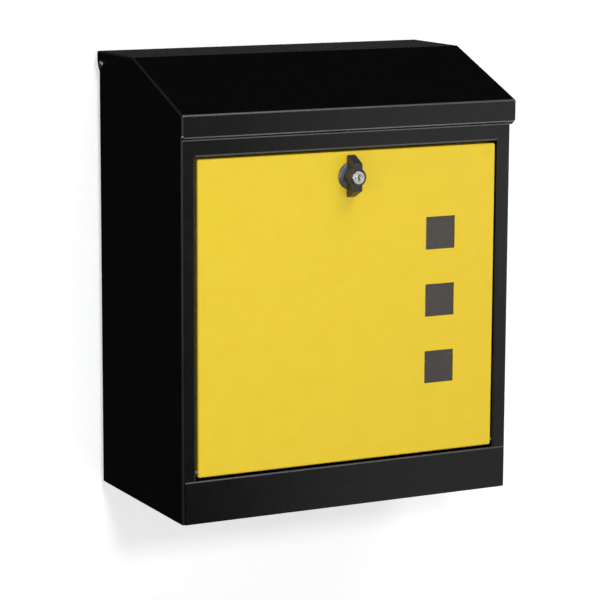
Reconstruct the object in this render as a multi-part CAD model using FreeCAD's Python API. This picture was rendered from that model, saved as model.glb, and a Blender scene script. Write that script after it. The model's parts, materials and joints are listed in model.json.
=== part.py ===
import FreeCAD, Part
import math
import os

# Wall mailbox in folded sheet steel. Millimetres.
# X points right, Y from the front towards the wall, Z up.
# The origin is the centre of the four wall holes, on the wall's surface.

# Cabinet
WIDTH = 320.0               # outside of the side panels
DEPTH = 175.0               # front face to back panel
HEIGHT = 392.0              # underside to lid top
SHEET = 1.0
BEND = 1.8                  # outside radius of a fold
BOSS_HEIGHT = 6.0           # the wall bosses stand this far behind the back panel
HOLE_PITCH_X = 220.0
HOLE_PITCH_Z = 240.0
HOLE_CENTRE = 190.0         # pattern centre above the underside
WALL_HOLE_R = 3.0
BOSS_BASE_R = 14.0
BOSS_TOP_R = 9.0
BACK_FLANGE = 10.0
CORNER_GAP = 10.0           # the back panel's flanges end this far from its corners
FLOOR_FLANGE = 12.0
FLOOR_CORNER_R = 1.0        # clears the inside of the side panels' front fold
DRAIN_R = 2.5
DRAIN_BACK = 25.0           # drain holes behind the front face
DRAIN_SPOTS = (-100.0, 0.0, 100.0)
APRON_INSET = 2.5           # apron plate's ends from the outside of the side panels
APRON_RETURN = 9.0

# Door opening and door
OPENING_WIDTH = 294.0
OPENING_TOP = 315.3         # above the underside
APRON_TOP = 37.3
DOOR_WIDTH = 290.0
DOOR_BOTTOM = 39.7
DOOR_TOP = 313.2
DOOR_FLANGE = 14.0
DOOR_BOTTOM_FLANGE = 5.0
RETURN_DEPTH = 15.0         # return flanges round the opening
STOP_DROP = 8.3             # the rail's rear lip hangs this far into the opening
RAIL_TOP = 350.3

# Windows
WINDOW = 29.0
WINDOW_PITCH = 60.0
WINDOW_X = 90.0
WINDOW_MIDDLE = 176.8       # centre of the middle window above the underside
STRIP_WIDTH = 44.0
STRIP_HALF_LENGTH = 86.0
STRIP_THICK = 1.5
STUD_R = 1.5
STUD_LENGTH = 6.0
NUT_R = 5.0
NUT_THICK = 0.6
STUD_SPOTS = (-80.0, -30.0, 30.0, 80.0)

# Lid
LID_SIDE_GAP = 1.0          # side panel to lid flange
LID_FLAT = 97.0             # the flat top ends this far behind the front face
LIP_REACH = 6.0             # lip in front of the front face
LIP_TOP = 351.5
LIP_BOTTOM = 332.5
LIP_RETURN_Y = 4.0
LIP_RETURN_Z = 3.0
LID_SIDE_BEND = 1.5         # outside radius of the side folds
FLANGE_WIDTH = 21.5
EAR_RADIUS = 15.0
LID_REST_GAP = 0.4          # lid underside to side panel edge
LID_AXIS_BACK = 9.3         # hinge axis in front of the back panel
LID_AXIS_DOWN = 10.7        # hinge axis below the lid top

# Hinge rivets and pins
RIVET_R = 2.0
RIVET_HEAD_R = 3.5
RIVET_HEAD = 2.0
RIVET_DOME = 1.6
RIVET_PLAY = 0.2            # rivet head to lid flange
RIVET_UPSET_R = 3.2
RIVET_UPSET = 1.4
LID_WASHER_R = 4.5
LID_WASHER = 0.7
PIN_R = 1.5
PIN_HEAD_R = 2.4
PIN_HEAD = 1.5
PIN_TAPER = 0.7             # the head narrows by this towards the flange, clear of its fold
PIN_END = 1.5               # pin end inside the door's flange
PIN_BACK = 3.5              # door hinge axis behind the front face
PIN_UP = 44.3               # door hinge axis above the underside
RUNNING_GAP = 0.05          # radial clearance of turning fits
HOLE_PLAY = 0.1             # radial clearance of the lock's holes

# Lock
LOCK_HEIGHT = 292.0
ROSETTE_R = 12.25
ROSETTE_THICK = 2.0
ROSETTE_BEVEL = 1.3
NECK_R = 8.0
NECK_LENGTH = 12.0
WASHER_R = 11.5
WASHER_THICK = 0.8
NUT_CORNERS_R = 12.7
LOCK_NUT = 3.5
KNOB_GAP = 0.3              # rosette to knob, and door to the wings' tips
KNOB_FRONT = 14.5           # knob face in front of the door
HUB_R = 7.75
HUB_STEP = 0.2              # hub face behind the wings' face
WING_BACK_HALF = 18.2
WING_FRONT_HALF = 11.9
WING_TIP = 1.5              # depth of the wing's blunt tip
WING_BACK_THICK = 8.2
WING_FRONT_THICK = 8.0
WING_EDGE_R = 0.6
RECESS_PLAY = 0.4           # between the rosette's rim and the wings' tips
BARREL_R = 5.85
BARREL_CHAMFER = 0.4
BARREL_FLOOR = 1.0          # thickness of the barrel behind the plug
BARREL_PROUD = 0.5
BARREL_BACK = 4.3           # rear end of the barrel in front of the door
PLUG_R = 3.5
PLUG_GAP = 0.3              # plug end to the barrel's floor
KEY_SLOT = 1.4
KEY_SLOT_HALF_HEIGHT = 2.4
KEY_SLOT_DEPTH = 7.0
SPINDLE_R = 5.0
SQUARE = 7.0
SQUARE_SHORT = 0.2          # the square ends this far inside the cam, so the screw clamps it
CAM_THICK = 2.0
CAM_GAP = 0.4               # stop lip to cam
CAM_HALF_WIDTH = 8.0
CAM_REACH = 24.0
CAM_CORNER = 3.0
CAM_WASHER_R = 5.6
SCREW_R = 2.0
SCREW_HEAD_R = 3.8
SCREW_HEAD = 2.4
SCREW_LENGTH = 9.0

# Places that follow from these
HALF = WIDTH / 2
BACK = -BOSS_HEIGHT
FRONT = BACK - DEPTH
FLOOR = -HOLE_CENTRE
LID_TOP = FLOOR + HEIGHT
LID_AXIS_Y = BACK - LID_AXIS_BACK
LID_AXIS_Z = LID_TOP - LID_AXIS_DOWN
RIDGE_Y = FRONT + LID_FLAT
LIP_Y = FRONT - LIP_REACH
SLOPE = math.atan2(HEIGHT - LIP_TOP, LID_FLAT + LIP_REACH)
LID_HALF = HALF + LID_SIDE_GAP + SHEET
HALF_OPENING = OPENING_WIDTH / 2
HALF_DOOR = DOOR_WIDTH / 2
DOOR_AXIS_Y = FRONT + PIN_BACK
DOOR_AXIS_Z = FLOOR + PIN_UP
LOCK_Z = FLOOR + LOCK_HEIGHT
CAM_FRONT = FRONT + RETURN_DEPTH + SHEET + CAM_GAP
WIDE = 400.0                # longer than any part, for cutting tools
OVER = 5.0                  # cutting tools reach this far past what they cut


def vec(x, y, z):
    return FreeCAD.Vector(x, y, z)


def box(x, y, z):
    """A box from three (low, high) pairs."""
    return Part.makeBox(x[1] - x[0], y[1] - y[0], z[1] - z[0], vec(x[0], y[0], z[0]))


def rod(radius, start, end):
    """A cylinder between two points."""
    run = end - start
    return Part.makeCylinder(radius, run.Length, start, run)


def rod_y(radius, y0, y1, x=0.0, z=LOCK_Z):
    return rod(radius, vec(x, y0, z), vec(x, y1, z))


def on_lid_axis(x):
    return vec(x, LID_AXIS_Y, LID_AXIS_Z)


def on_door_axis(x):
    return vec(x, DOOR_AXIS_Y, DOOR_AXIS_Z)


def rims(solid, keep):
    """The edges of a solid whose bounding boxes pass a test."""
    return [e for e in solid.Edges if keep(e.BoundBox)]


def bent_wire(points, radius):
    """Straight runs through the points, joined by tangent arcs."""
    edges = []
    start = points[0]
    for before, corner, after in zip(points, points[1:], points[2:]):
        a = (before - corner).normalize()
        b = (after - corner).normalize()
        half = a.getAngle(b) / 2
        middle = (a + b).normalize()
        into = corner + a * (radius / math.tan(half))
        out = corner + b * (radius / math.tan(half))
        top = corner + middle * (radius / math.sin(half) - radius)
        edges.append(Part.LineSegment(start, into).toShape())
        edges.append(Part.Arc(into, top, out).toShape())
        start = out
    edges.append(Part.LineSegment(start, points[-1]).toShape())
    return Part.Wire(edges)


def folded(points, run, side):
    """A folded sheet: the path of one face, its length vector and the side of the other face."""
    face = bent_wire(points, BEND).makeOffset2D(side * SHEET, 0, True, True, False)
    return face.extrude(run)


def prism(points, run):
    """A closed outline of straight edges, extruded."""
    return Part.Face(Part.makePolygon(points + points[:1])).extrude(run)


def mirrored(shape):
    return shape.mirror(vec(0, 0, 0), vec(1, 0, 0))


def slope_z(y, below=0.0):
    """Height of the lid's sloping outer face at y, or of a plane that far below it."""
    return LID_TOP - (RIDGE_Y - y) * math.tan(SLOPE) - below / math.cos(SLOPE)


def side_outline():
    """Outline of a side panel, clear of the lid and round its hinge."""
    drop = SHEET + LID_REST_GAP
    radius = LID_AXIS_DOWN - drop
    ridge = RIDGE_Y + drop * math.tan(SLOPE / 2)
    corner = radius * math.sqrt(0.5)
    start = vec(0, LID_AXIS_Y + radius, LID_AXIS_Z)
    middle = vec(0, LID_AXIS_Y + corner, LID_AXIS_Z + corner)
    end = vec(0, LID_AXIS_Y, LID_AXIS_Z + radius)
    runs = [
        end,
        vec(0, ridge, LID_TOP - drop),
        vec(0, FRONT, slope_z(FRONT, drop)),
        vec(0, FRONT, FLOOR),
        vec(0, BACK, FLOOR),
        start,
    ]
    edges = [Part.Arc(start, middle, end).toShape()]
    edges += [Part.LineSegment(a, b).toShape() for a, b in zip(runs, runs[1:])]
    return Part.Face(Part.Wire(edges))


def left_side_panel():
    """Side, front strip and return flange. Beside the rail the strip is flat and butts against it."""
    path = [
        vec(-HALF, BACK, FLOOR),
        vec(-HALF, FRONT, FLOOR),
        vec(-HALF_OPENING, FRONT, FLOOR),
        vec(-HALF_OPENING, FRONT + RETURN_DEPTH, FLOOR),
    ]
    sheet = folded(path, vec(0, 0, HEIGHT), -1)
    beside_rail = (FLOOR + OPENING_TOP, LID_TOP)
    flat_end = -HALF_OPENING - BEND
    sheet = sheet.cut(box((flat_end, 0), (FRONT, 0), beside_rail))
    strip = box((flat_end, -HALF_OPENING), (FRONT, FRONT + SHEET), beside_rail)
    outline = side_outline().extrude(vec(WIDE, 0, 0))
    outline.translate(vec(-WIDE / 2, 0, 0))
    sheet = sheet.fuse(strip).common(outline)
    floor_notch = box((-HALF + OVER, 0), (FRONT + SHEET, 0), (FLOOR, FLOOR + FLOOR_FLANGE + 2))
    rivet_hole = rod(RIVET_R, on_lid_axis(-HALF), on_lid_axis(-HALF + OVER))
    pin_hole = rod(PIN_R, on_door_axis(-HALF_OPENING - OVER), on_door_axis(-HALF_OPENING + OVER))
    return sheet.cut(floor_notch).cut(rivet_hole).cut(pin_hole)


def back_panel():
    """Flat panel with a flange on three edges and four pressed bosses round the wall holes."""
    inside = HALF - SHEET
    panel = box((-inside, inside), (BACK - SHEET, BACK), (FLOOR + SHEET, LID_AXIS_Z))
    reach = (BACK - SHEET - BACK_FLANGE, BACK - SHEET)
    top_half = inside - CORNER_GAP
    top = box((-top_half, top_half), reach, (LID_AXIS_Z - SHEET, LID_AXIS_Z))
    side_z = (FLOOR + FLOOR_FLANGE + 4, LID_AXIS_Z - CORNER_GAP - 2)
    left = box((-inside, -inside + SHEET), reach, side_z)
    panel = panel.fuse([top, left, mirrored(left)])
    for x in (-HOLE_PITCH_X / 2, HOLE_PITCH_X / 2):
        for z in (-HOLE_PITCH_Z / 2, HOLE_PITCH_Z / 2):
            base = vec(x, BACK, z)
            boss = Part.makeCone(BOSS_BASE_R, BOSS_TOP_R, BOSS_HEIGHT, base, vec(0, 1, 0))
            hollow = Part.makeCone(
                BOSS_BASE_R - SHEET / 2,
                BOSS_TOP_R - SHEET / 2,
                BOSS_HEIGHT,
                base - vec(0, SHEET, 0),
                vec(0, 1, 0),
            )
            hole = rod_y(WALL_HOLE_R, BACK - OVER, OVER, x, z)
            panel = panel.fuse(boss).cut(hollow).cut(hole)
    return panel


def floor_pan():
    """Floor with a low flange on each edge."""
    inside = HALF - SHEET
    y = (FRONT + SHEET, BACK - SHEET)
    tray = box((-inside, inside), y, (FLOOR, FLOOR + FLOOR_FLANGE))
    tray = tray.makeFillet(FLOOR_CORNER_R, rims(tray, lambda b: b.ZLength > FLOOR_FLANGE / 2))
    hollow = box((-inside + SHEET, inside - SHEET), (y[0] + SHEET, y[1] - SHEET), (FLOOR + SHEET, 0))
    pan = tray.cut(hollow)
    hole_y = FRONT + DRAIN_BACK
    for x in DRAIN_SPOTS:
        pan = pan.cut(rod(DRAIN_R, vec(x, hole_y, FLOOR - OVER), vec(x, hole_y, FLOOR + OVER)))
    return pan


def apron():
    """Plate over the front under the door, its top edge folded into the opening."""
    half_plate = HALF - APRON_INSET
    path = [
        vec(-half_plate, FRONT - SHEET, FLOOR),
        vec(-half_plate, FRONT - SHEET, FLOOR + APRON_TOP),
        vec(-half_plate, FRONT + APRON_RETURN, FLOOR + APRON_TOP),
    ]
    plate = folded(path, vec(2 * half_plate, 0, 0), 1)
    notch = box((-HALF, -HALF_OPENING), (FRONT, 0), (FLOOR, 0))
    return plate.cut([notch, mirrored(notch)])


def top_rail():
    """Front rail over the door. Its rear lip is the door's stop and the cam's strike."""
    bottom = FLOOR + OPENING_TOP
    path = [
        vec(-HALF_OPENING, FRONT + 12, FLOOR + RAIL_TOP),
        vec(-HALF_OPENING, FRONT, FLOOR + RAIL_TOP),
        vec(-HALF_OPENING, FRONT, bottom),
        vec(-HALF_OPENING, FRONT + RETURN_DEPTH, bottom),
        vec(-HALF_OPENING, FRONT + RETURN_DEPTH, bottom - STOP_DROP),
    ]
    return folded(path, vec(OPENING_WIDTH, 0, 0), -1)


def lid_body(inset, bottom, back):
    """Block under the lid's outer faces, inset from them, with rounded side folds."""
    left = -LID_HALF + inset
    shift = inset * math.tan(SLOPE / 2)
    lip = LIP_Y + inset
    path = [
        vec(left, back, LID_TOP - inset),
        vec(left, RIDGE_Y + shift, LID_TOP - inset),
        vec(left, lip, slope_z(lip, inset)),
        vec(left, lip, bottom),
    ]
    top = bent_wire(path, BEND - inset)
    low = [path[-1], vec(left, back, bottom), path[0]]
    edges = top.Edges + [Part.LineSegment(a, b).toShape() for a, b in zip(low, low[1:])]
    block = Part.Face(Part.Wire(edges)).extrude(vec(-2 * left, 0, 0))

    def on_side_fold(b):
        in_one_side = b.XLength < SHEET
        at_bottom = b.ZMax < bottom + SHEET / 10
        at_back = b.YMin > back - SHEET / 10
        return in_one_side and not at_bottom and not at_back

    return block.makeFillet(LID_SIDE_BEND - inset, rims(block, on_side_fold))


def lid_flange_cut():
    """Everything below the lid's side flanges, with the round ear at the hinge."""
    width = FLANGE_WIDTH
    flat = LID_TOP - width
    bend = RIDGE_Y + width * math.tan(SLOPE / 2)
    ear = EAR_RADIUS
    corner = vec(0, BACK - ear, flat + ear)
    reach = ear * math.sqrt(0.5)
    lip_end = LIP_Y + (FLOOR + LIP_BOTTOM - slope_z(LIP_Y, width)) / math.tan(SLOPE)
    arc = Part.Arc(
        vec(0, BACK - ear, flat),
        vec(0, corner.y + reach, corner.z - reach),
        vec(0, BACK, flat + ear),
    ).toShape()
    low = FLOOR + LIP_BOTTOM - 2 * FLANGE_WIDTH
    runs = [
        vec(0, BACK, flat + ear),
        vec(0, -BACK, flat + ear),
        vec(0, -BACK, low),
        vec(0, LIP_Y - OVER, low),
        vec(0, LIP_Y - OVER, FLOOR + LIP_BOTTOM),
        vec(0, lip_end, FLOOR + LIP_BOTTOM),
        vec(0, bend, flat),
        vec(0, BACK - ear, flat),
    ]
    edges = [arc] + [Part.LineSegment(a, b).toShape() for a, b in zip(runs, runs[1:])]
    tool = Part.Face(Part.Wire(edges)).extrude(vec(WIDE, 0, 0))
    tool.translate(vec(-WIDE / 2, 0, 0))
    return tool


def lid():
    """One sheet: flat top, slope, front lip with a slanting return, and side flanges."""
    low = FLOOR + LIP_BOTTOM
    shell = lid_body(0.0, low, BACK).cut(lid_body(SHEET, low - OVER, BACK + OVER)).cut(lid_flange_cut())
    half = LID_HALF - SHEET
    back = LIP_RETURN_Y
    rise = SHEET * math.sqrt(LIP_RETURN_Y**2 + LIP_RETURN_Z**2) / LIP_RETURN_Y
    fold = prism(
        [
            vec(-half, LIP_Y, low),
            vec(-half, LIP_Y + back, low - LIP_RETURN_Z),
            vec(-half, LIP_Y + back, low - LIP_RETURN_Z + rise),
            vec(-half, LIP_Y + SHEET, low + 0.5),
            vec(-half, LIP_Y, low + 0.5),
        ],
        vec(2 * half, 0, 0),
    )
    hinge = rod(RIVET_R + RUNNING_GAP, on_lid_axis(-WIDE / 2), on_lid_axis(WIDE / 2))
    return shell.fuse(fold).cut(hinge)


def lid_rivet_left():
    """Domed head, shank and upset end."""
    outside = -LID_HALF - RIVET_PLAY
    inside = -HALF + SHEET
    head = rod(RIVET_HEAD_R, on_lid_axis(outside), on_lid_axis(outside - RIVET_HEAD))
    head = head.makeFillet(RIVET_DOME, rims(head, lambda b: b.XMax < outside - RIVET_HEAD / 2))
    shank = rod(RIVET_R, on_lid_axis(outside), on_lid_axis(inside))
    end = rod(RIVET_UPSET_R, on_lid_axis(inside), on_lid_axis(inside + RIVET_UPSET))
    return head.fuse([shank, end])


def lid_washer_left():
    """Spacer between the side panel and the lid's ear."""
    ring = rod(LID_WASHER_R, on_lid_axis(-HALF - LID_WASHER), on_lid_axis(-HALF))
    return ring.cut(rod(RIVET_R, on_lid_axis(-HALF - OVER), on_lid_axis(-HALF + OVER)))


def door_pin_left():
    """Headed pin held in the opening's return flange."""
    inner = -HALF_OPENING - SHEET
    taper_end = on_door_axis(inner - PIN_TAPER)
    taper = Part.makeCone(PIN_HEAD_R, PIN_HEAD_R - PIN_TAPER, PIN_TAPER, taper_end, vec(1, 0, 0))
    head = rod(PIN_HEAD_R, on_door_axis(inner - PIN_HEAD), taper_end)
    shank = rod(PIN_R, on_door_axis(inner), on_door_axis(-HALF_DOOR + SHEET + PIN_END))
    return head.fuse([taper, shank])


def door_block(inset, depth):
    """The door's outer block, inset, with its front edges rounded."""
    x = HALF_DOOR - inset
    front = FRONT + inset
    z = (FLOOR + DOOR_BOTTOM + inset, FLOOR + DOOR_TOP - inset)
    block = box((-x, x), (front, FRONT + depth), z)
    return block.makeFillet(BEND - inset, rims(block, lambda b: b.YMax < front + SHEET / 10))


def door_panel():
    """Tray-shaped door with a short bottom flange, three windows and the lock's hole."""
    door = door_block(0.0, DOOR_FLANGE).cut(door_block(SHEET, DOOR_FLANGE + OVER))
    low = FLOOR + DOOR_BOTTOM
    x = HALF_DOOR - BEND
    door = door.cut(box((-x, x), (FRONT + DOOR_BOTTOM_FLANGE, 0), (low - OVER, low + BEND)))
    for step in (-1, 0, 1):
        z = FLOOR + WINDOW_MIDDLE + step * WINDOW_PITCH
        half = WINDOW / 2
        window = box((WINDOW_X - half, WINDOW_X + half), (FRONT - OVER, FRONT + OVER), (z - half, z + half))
        door = door.cut(window)
    door = door.cut(rod_y(NECK_R + HOLE_PLAY, FRONT - OVER, FRONT + OVER))
    return door.cut(rod(PIN_R + RUNNING_GAP, on_door_axis(-WIDE / 2), on_door_axis(WIDE / 2)))


def window_strip():
    middle = FLOOR + WINDOW_MIDDLE
    y = FRONT + SHEET
    half = STRIP_WIDTH / 2
    strip = box(
        (WINDOW_X - half, WINDOW_X + half),
        (y, y + STRIP_THICK),
        (middle - STRIP_HALF_LENGTH, middle + STRIP_HALF_LENGTH),
    )
    for spot in STUD_SPOTS:
        strip = strip.cut(rod_y(STUD_R + HOLE_PLAY, y - OVER, y + OVER, WINDOW_X, middle + spot))
    return strip


def window_studs():
    """Studs welded to the inside of the door."""
    y = FRONT + SHEET
    middle = FLOOR + WINDOW_MIDDLE
    studs = [rod_y(STUD_R, y, y + STUD_LENGTH, WINDOW_X, middle + spot) for spot in STUD_SPOTS]
    return Part.makeCompound(studs)


def push_nuts():
    """Thin ring on each stud, which holds the window strip."""
    y = FRONT + SHEET + STRIP_THICK
    rings = []
    for spot in STUD_SPOTS:
        z = FLOOR + WINDOW_MIDDLE + spot
        ring = rod_y(NUT_R, y, y + NUT_THICK, WINDOW_X, z)
        rings.append(ring.cut(rod_y(STUD_R, y - OVER, y + OVER, WINDOW_X, z)))
    return Part.makeCompound(rings)


def rosette():
    """Lock housing: bevelled flange on the door's face and a neck through the door."""
    flange = rod_y(ROSETTE_R, FRONT - ROSETTE_THICK, FRONT)
    flange = flange.makeChamfer(ROSETTE_BEVEL, rims(flange, lambda b: b.YMax < FRONT - ROSETTE_THICK / 2))
    neck = rod_y(NECK_R, FRONT, FRONT + NECK_LENGTH)
    bore = rod_y(SPINDLE_R + RUNNING_GAP, FRONT - OVER, FRONT + NECK_LENGTH + OVER)
    return flange.fuse(neck).cut(bore)


def lock_washer():
    y = FRONT + SHEET
    return rod_y(WASHER_R, y, y + WASHER_THICK).cut(rod_y(NECK_R, y - OVER, y + OVER))


def lock_nut():
    y = FRONT + SHEET + WASHER_THICK
    r = NUT_CORNERS_R
    turns = [math.radians(60 * i) for i in range(6)]
    hexagon = [vec(r * math.cos(a), y, LOCK_Z + r * math.sin(a)) for a in turns]
    return prism(hexagon, vec(0, LOCK_NUT, 0)).cut(rod_y(NECK_R, y - OVER, y + OVER))


def knob():
    """Hub with two wings, sloped towards their tips, bored for the barrel and the spindle.

    The tips reach back past the rosette, which sits in a recess behind the wings."""
    rear = FRONT - ROSETTE_THICK - KNOB_GAP
    skirt = FRONT - KNOB_GAP
    face = FRONT - KNOB_FRONT
    back, front = WING_BACK_THICK / 2, WING_FRONT_THICK / 2
    z0 = LOCK_Z - WING_BACK_HALF
    plan = [vec(-back, skirt, z0), vec(back, skirt, z0), vec(front, face, z0), vec(-front, face, z0)]
    bar = prism(plan, vec(0, 0, 2 * WING_BACK_HALF))
    out = -HUB_R
    profile = [
        vec(out, skirt, LOCK_Z - WING_BACK_HALF),
        vec(out, skirt, LOCK_Z + WING_BACK_HALF),
        vec(out, skirt - WING_TIP, LOCK_Z + WING_BACK_HALF),
        vec(out, face, LOCK_Z + WING_FRONT_HALF),
        vec(out, face, LOCK_Z - WING_FRONT_HALF),
        vec(out, skirt - WING_TIP, LOCK_Z - WING_BACK_HALF),
    ]
    wings = bar.common(prism(profile, vec(2 * HUB_R, 0, 0)))
    wings = wings.makeFillet(WING_EDGE_R, rims(wings, lambda b: b.YMin < skirt - 0.1))
    wings = wings.cut(rod_y(ROSETTE_R + RECESS_PLAY, rear, skirt + OVER))
    hub_face = face + HUB_STEP
    hub = rod_y(HUB_R, hub_face, rear)
    hub = hub.makeFillet(WING_EDGE_R, rims(hub, lambda b: b.YMax < rear - 0.1))
    barrel_bore = rod_y(BARREL_R, face - OVER, FRONT - BARREL_BACK)
    spindle_bore = rod_y(SPINDLE_R, FRONT - BARREL_BACK, rear + OVER)
    return wings.fuse(hub).cut(barrel_bore).cut(spindle_bore)


def key_barrel():
    face = FRONT - KNOB_FRONT - BARREL_PROUD
    body = rod_y(BARREL_R, face, FRONT - BARREL_BACK)
    body = body.makeChamfer(BARREL_CHAMFER, rims(body, lambda b: b.YMax < face + BARREL_CHAMFER))
    return body.cut(rod_y(PLUG_R + RUNNING_GAP, face - OVER, FRONT - BARREL_BACK - BARREL_FLOOR))


def key_plug():
    face = FRONT - KNOB_FRONT - BARREL_PROUD
    body = rod_y(PLUG_R, face, FRONT - BARREL_BACK - BARREL_FLOOR - PLUG_GAP)
    z = (LOCK_Z - KEY_SLOT_HALF_HEIGHT, LOCK_Z + KEY_SLOT_HALF_HEIGHT)
    slot = box((-KEY_SLOT / 2, KEY_SLOT / 2), (face - OVER, face + KEY_SLOT_DEPTH), z)
    return body.cut(slot)


def lock_spindle():
    """Round through the neck, square through the cam, tapped for the cam screw."""
    square_end = CAM_FRONT + CAM_THICK - SQUARE_SHORT
    half = SQUARE / 2
    shaft = rod_y(SPINDLE_R, FRONT - BARREL_BACK, CAM_FRONT)
    square = box((-half, half), (CAM_FRONT, square_end), (LOCK_Z - half, LOCK_Z + half))
    return shaft.fuse(square).cut(rod_y(SCREW_R, square_end - SCREW_LENGTH, square_end + OVER))


def latch_cam():
    """Bar with a round hub end and a chamfered tip, on the spindle's square."""
    w = CAM_HALF_WIDTH
    tip = LOCK_Z + CAM_REACH
    outline = [
        vec(-w, CAM_FRONT, LOCK_Z),
        vec(w, CAM_FRONT, LOCK_Z),
        vec(w, CAM_FRONT, tip - CAM_CORNER),
        vec(w - CAM_CORNER, CAM_FRONT, tip),
        vec(-w + CAM_CORNER, CAM_FRONT, tip),
        vec(-w, CAM_FRONT, tip - CAM_CORNER),
    ]
    half = SQUARE / 2
    end = rod_y(w, CAM_FRONT, CAM_FRONT + CAM_THICK)
    square = box((-half, half), (CAM_FRONT - OVER, CAM_FRONT + OVER), (LOCK_Z - half, LOCK_Z + half))
    return prism(outline, vec(0, CAM_THICK, 0)).fuse(end).cut(square)


def cam_washer():
    y = CAM_FRONT + CAM_THICK
    return rod_y(CAM_WASHER_R, y, y + WASHER_THICK).cut(rod_y(SCREW_R + HOLE_PLAY, y - OVER, y + OVER))


def cam_screw():
    """Pan-head screw with a driver slot."""
    y = CAM_FRONT + CAM_THICK + WASHER_THICK
    head = rod_y(SCREW_HEAD_R, y, y + SCREW_HEAD)
    head = head.makeFillet(1.0, rims(head, lambda b: b.YMin > y + SCREW_HEAD / 2))
    slot = box((-OVER, OVER), (y + SCREW_HEAD - 1, y + OVER), (LOCK_Z - 0.5, LOCK_Z + 0.5))
    return head.fuse(rod_y(SCREW_R, y - SCREW_LENGTH, y)).cut(slot)


PARTS = {
    "left_side_panel": left_side_panel(),
    "right_side_panel": mirrored(left_side_panel()),
    "back_panel": back_panel(),
    "floor_pan": floor_pan(),
    "apron": apron(),
    "top_rail": top_rail(),
    "lid": lid(),
    "lid_rivet_left": lid_rivet_left(),
    "lid_rivet_right": mirrored(lid_rivet_left()),
    "lid_washer_left": lid_washer_left(),
    "lid_washer_right": mirrored(lid_washer_left()),
    "door_pin_left": door_pin_left(),
    "door_pin_right": mirrored(door_pin_left()),
    "door_panel": door_panel(),
    "window_strip": window_strip(),
    "window_studs": window_studs(),
    "push_nuts": push_nuts(),
    "rosette": rosette(),
    "lock_washer": lock_washer(),
    "lock_nut": lock_nut(),
    "knob": knob(),
    "key_barrel": key_barrel(),
    "key_plug": key_plug(),
    "lock_spindle": lock_spindle(),
    "latch_cam": latch_cam(),
    "cam_washer": cam_washer(),
    "cam_screw": cam_screw(),
}

os.makedirs("parts", exist_ok=True)
for name, shape in PARTS.items():
    clean = shape.removeSplitter()
    print(name, clean.ShapeType, len(clean.Solids), clean.isValid(), round(clean.Volume, 1))
    clean.exportStep("parts/" + name + ".step")
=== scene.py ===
import json
import math

import bmesh
import bpy
from mathutils import Matrix, Vector


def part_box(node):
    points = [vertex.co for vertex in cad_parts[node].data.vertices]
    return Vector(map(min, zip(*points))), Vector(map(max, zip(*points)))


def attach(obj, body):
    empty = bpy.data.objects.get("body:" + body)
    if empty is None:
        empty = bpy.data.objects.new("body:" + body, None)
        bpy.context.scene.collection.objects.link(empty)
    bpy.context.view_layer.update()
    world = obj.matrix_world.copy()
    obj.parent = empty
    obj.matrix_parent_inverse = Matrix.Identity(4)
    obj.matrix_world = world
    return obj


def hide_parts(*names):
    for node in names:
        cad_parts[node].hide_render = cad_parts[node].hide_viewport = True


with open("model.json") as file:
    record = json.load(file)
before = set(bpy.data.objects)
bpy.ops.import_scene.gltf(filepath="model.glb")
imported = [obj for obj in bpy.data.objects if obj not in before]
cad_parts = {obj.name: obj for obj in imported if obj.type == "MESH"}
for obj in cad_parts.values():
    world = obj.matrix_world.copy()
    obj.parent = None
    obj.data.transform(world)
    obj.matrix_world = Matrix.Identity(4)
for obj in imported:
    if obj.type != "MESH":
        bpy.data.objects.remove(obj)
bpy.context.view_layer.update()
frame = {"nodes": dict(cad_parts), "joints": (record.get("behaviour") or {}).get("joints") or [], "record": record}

# Wall mailbox. Metres, in the CAD frame: +X right, +Y into the wall, +Z up.
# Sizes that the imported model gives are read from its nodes' boxes and its joints.

MM = 0.001
SHEET = 1.0 * MM
FOLD = 1.8 * MM             # outside radius of a fold
SUPPORT = 1.5 * MM          # distance from a fold or rim to the next row of vertices
STRIP = 0.7 * MM            # faces of a fold are narrower than this
FULL_TURN = math.radians(8)         # and turn by this from one to the next
WEAR_AND_SHEEN_ACROSS, WEAR_AND_SHEEN_DOWN = 0.3, 0.035     # wear and painted highlight of the folds along x, and of all others
RAIL_LIP = 8.3 * MM         # the rail's rear lip hangs this far into the opening
SAME = 1e-7                 # places nearer than this are one place
WELD = 1e-6                 # vertices of a sheet that are nearer are joined
FINE_WELD = 1e-8            # and so are those of a turned part

BOX = {name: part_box(name) for name in frame["nodes"]}
JOINT = {j["name"]: Vector(j["pos_m"]) for j in frame["joints"]}

LEFT, RIGHT = BOX["left_side_panel"], BOX["right_side_panel"]
HALF = RIGHT[1].x
OPEN_HALF = RIGHT[0].x
FRONT, BACK = LEFT[0].y, LEFT[1].y
FLOOR_Z = BOX["floor_pan"][0].z
RETURN_Y = BOX["top_rail"][1].y - SHEET
RAIL = BOX["top_rail"]
LID = BOX["lid"]
DOOR = BOX["door_panel"]
LID_AXIS = JOINT["lid_hinge"]
DOOR_AXIS = JOINT["door_hinge"]
LOCK = JOINT["knob_turn"]

LID_FLAT = 97.0 * MM        # the flat top ends this far behind the front face
LIP_TOP_DROP = 40.5 * MM    # lid top to the top of the lip
LIP_BOTTOM = 3.0 * MM       # bottom of the lip's face above the end of its return
RIDGE_Y = FRONT + LID_FLAT
SLOPE = math.atan2(LIP_TOP_DROP, RIDGE_Y - LID[0].y)


def slope_z(y, below=0.0):
    """Height of the lid's sloping face at y, or of a plane that far below it."""
    return LID[1].z - (RIDGE_Y - y) * math.tan(SLOPE) - below / math.cos(SLOPE)


# ---- meshes

def new_object(name, bm):
    mesh = bpy.data.meshes.new(name)
    bm.to_mesh(mesh)
    bm.free()
    mesh.update()
    obj = bpy.data.objects.new(name, mesh)
    bpy.context.scene.collection.objects.link(obj)
    return obj


def add_modifier(obj, kind, **values):
    modifier = obj.modifiers.new(kind.lower(), kind)
    for key, value in values.items():
        setattr(modifier, key, value)
    return modifier


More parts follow.
